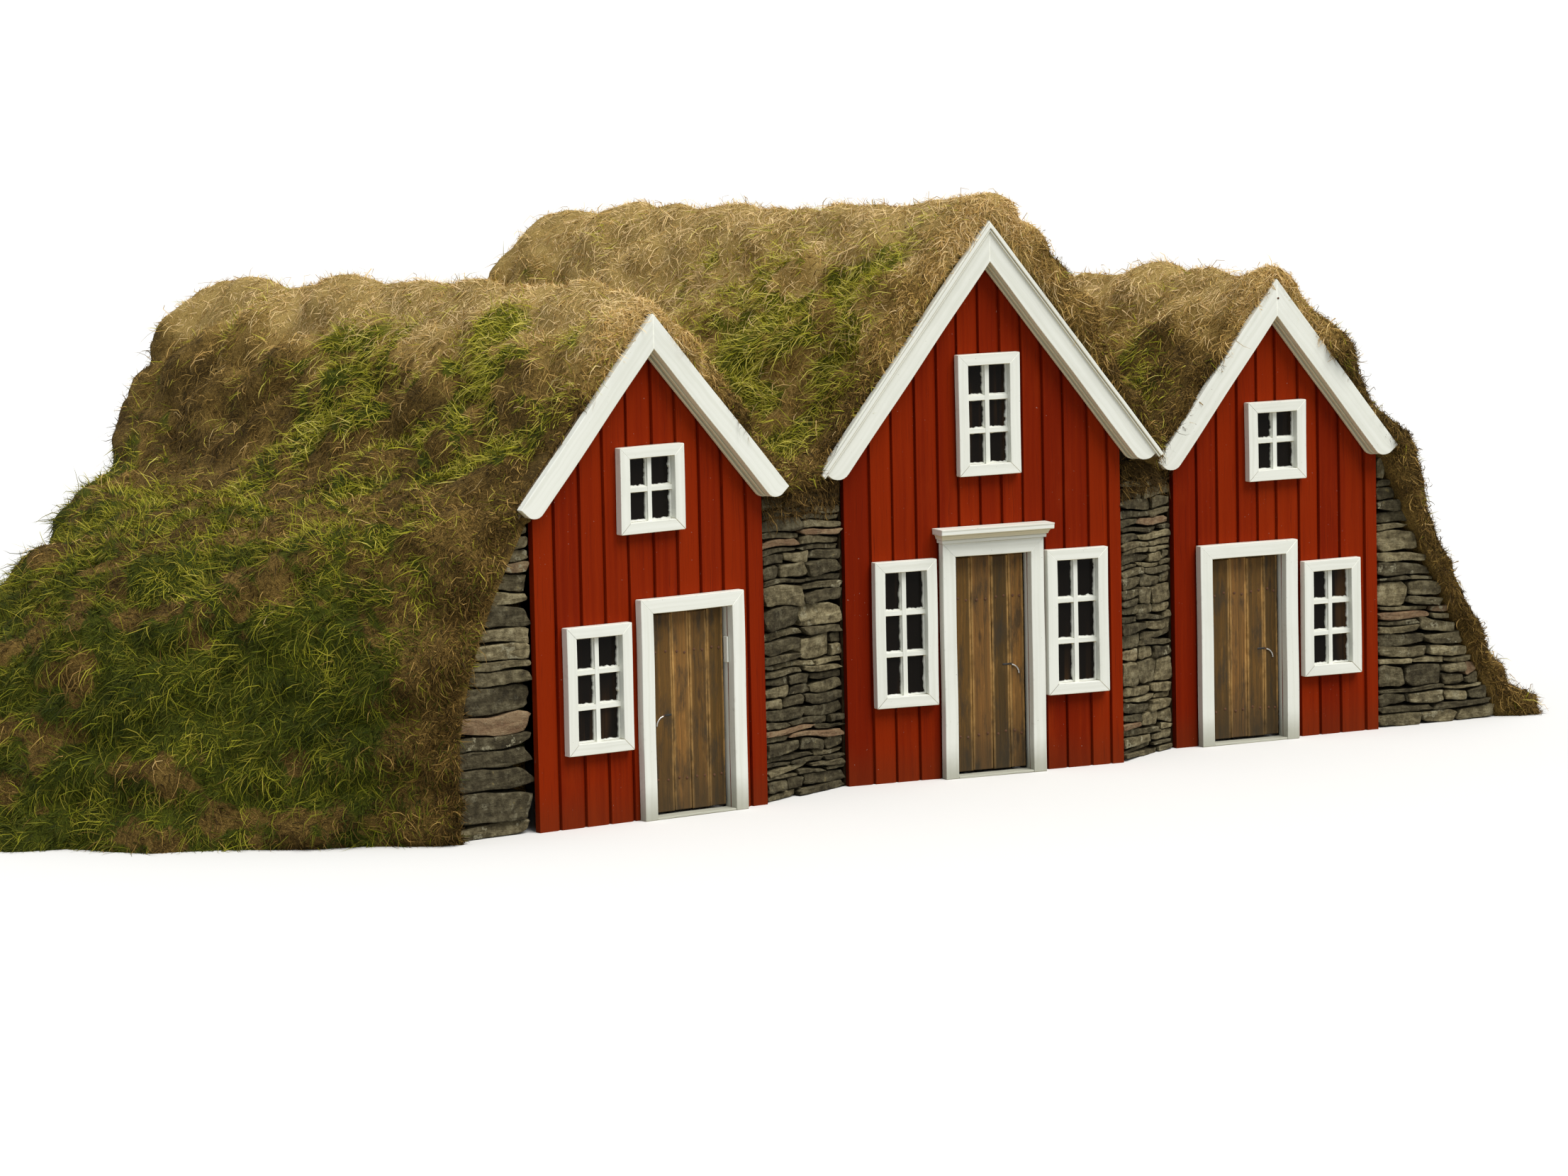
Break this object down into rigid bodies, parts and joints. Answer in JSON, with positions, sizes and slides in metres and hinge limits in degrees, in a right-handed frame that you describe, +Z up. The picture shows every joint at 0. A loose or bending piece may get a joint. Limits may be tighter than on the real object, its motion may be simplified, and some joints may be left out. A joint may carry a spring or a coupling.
{
  "type": "miniature turf house",
  "caption": "Miniature turf house with boarded gable fronts side by side, dry stone between them, turf over roofs and walls, and doors that open inwards.",
  "frame": {"origin": "on the ground under the middle of the middle front's boards", "axes": "+X right along the row of fronts, +Y back along the ridges, +Z up"},
  "size_m": [4.9175, 2.7084, 1.5059],
  "materials": {
    "turf": "rough dry turf",
    "earth": "rough earth and roots",
    "stone": "rough dry stone",
    "roof_wood": "rough sawn",
    "red_paint": "matt red paint",
    "white_paint": "satin white paint",
    "glass": "clear, dark inside",
    "door_wood": "weathered varnish",
    "iron": "plain"
  },
  "bodies": {
    "house": {"left_flank": "turf", "right_flank": "turf", "back_wall": "turf", "left_roof_turf": "turf", "middle_roof_turf": "turf", "right_roof_turf": "turf", "left_dividing_wall": "earth", "right_dividing_wall": "earth", "left_stone_face": "stone", "left_middle_stone_face": "stone", "right_middle_stone_face": "stone", "right_stone_face": "stone", "left_roof_boards": "roof_wood", "middle_roof_boards": "roof_wood", "right_roof_boards": "roof_wood", "left_front_beside_left": "red_paint", "left_front_beside_right": "red_paint", "left_front_over": "red_paint", "middle_front_beside_left": "red_paint", "middle_front_beside_right": "red_paint", "middle_front_over": "red_paint", "right_front_beside_left": "red_paint", "right_front_beside_right": "red_paint", "right_front_over": "red_paint", "left_door_casing": "white_paint", "middle_door_casing": "white_paint", "right_door_casing": "white_paint", "middle_door_cornice": "white_paint", "left_window_frames": "white_paint", "middle_window_frames": "white_paint", "right_window_frames": "white_paint", "left_barge_boards": "white_paint", "middle_barge_boards": "white_paint", "right_barge_boards": "white_paint", "middle_barge_cap": "white_paint", "left_glass": "glass", "middle_glass": "glass", "right_glass": "glass", "hinge_pins": "iron"},
    "left_door_leaf": {"left_door": "door_wood", "left_door_iron": "iron"},
    "middle_door_leaf": {"middle_door": "door_wood", "middle_door_iron": "iron"},
    "right_door_leaf": {"right_door": "door_wood", "right_door_iron": "iron"}
  },
  "joints": [
    {"name": "left_door_hinge", "type": "hinge", "parent": "house", "child": "left_door_leaf", "pos_m": [-0.83819, 0.00146, 0.09378], "axis": [0, 0, 1], "range_deg": [-88, 0]},
    {"name": "middle_door_hinge", "type": "hinge", "parent": "house", "child": "middle_door_leaf", "pos_m": [-0.08655, 0.05334, 0.10422], "axis": [0, 0, 1], "range_deg": [0, 88]},
    {"name": "right_door_hinge", "type": "hinge", "parent": "house", "child": "right_door_leaf", "pos_m": [0.7545, 0.06659, 0.09036], "axis": [0, 0, 1], "range_deg": [0, 88]}
  ]
}
